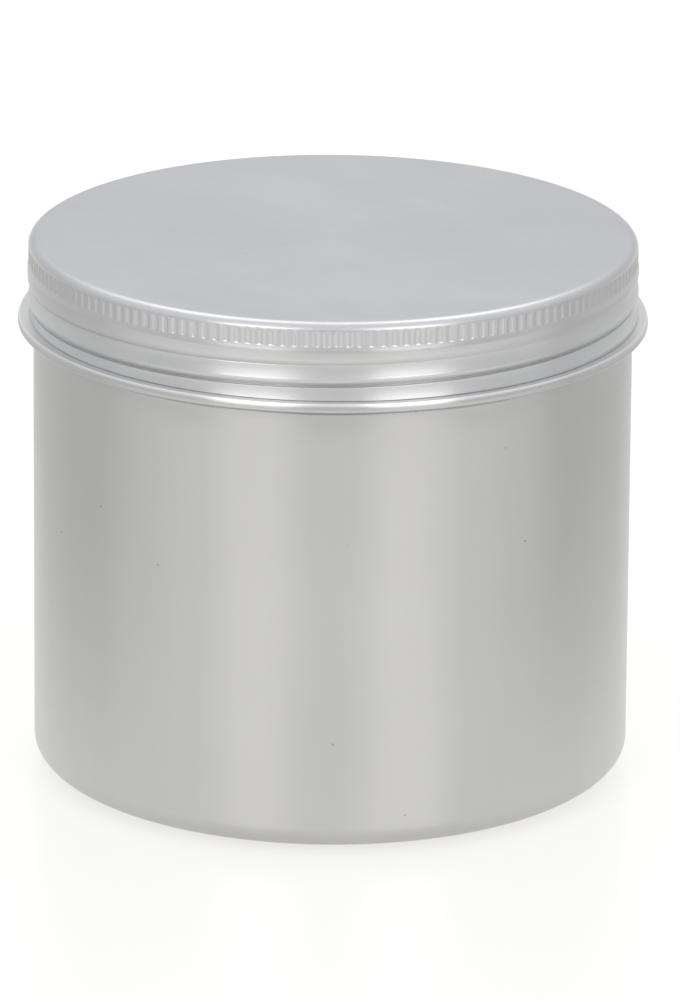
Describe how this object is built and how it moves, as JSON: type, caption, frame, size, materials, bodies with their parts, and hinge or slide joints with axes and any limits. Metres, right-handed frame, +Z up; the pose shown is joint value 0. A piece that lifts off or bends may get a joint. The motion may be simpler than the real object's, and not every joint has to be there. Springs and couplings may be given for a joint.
{
  "type": "candle tin",
  "caption": "Round drawn aluminium candle tin with a flat screw lid, fluted grip band, rolled thread, stop bead and foam liner; the lid screws up off its neck.",
  "frame": {"origin": "centre of the standing ring, on the surface that the tin stands on", "axes": "+Z up along the tin's axis, out through the lid; -Y towards the side shown in the picture"},
  "size_m": [0.0974, 0.0974, 0.085],
  "materials": {
    "tin_aluminium": "satin, finely brushed around the axis",
    "lid_aluminium": "satin, finely brushed around the axis",
    "foam_liner": "matt closed-cell foam"
  },
  "bodies": {
    "tin": {"tin_body": "tin_aluminium"},
    "liner": {"lid_liner": "foam_liner"},
    "lid": {"screw_lid": "lid_aluminium"}
  },
  "joints": [
    {"name": "lid_lift", "type": "slide", "parent": "tin", "child": "liner", "axis": [0, 0, 1], "range_m": [0, 0.01361]},
    {"name": "lid_turn", "type": "hinge", "parent": "liner", "child": "lid", "pos_m": [0, 0, 0], "axis": [0, 0, 1], "range_deg": [0, 1440]}
  ],
  "couplings": [
    {"joint": "lid_lift", "follows": "lid_turn", "m_per_rad": 0.00054113}
  ]
}
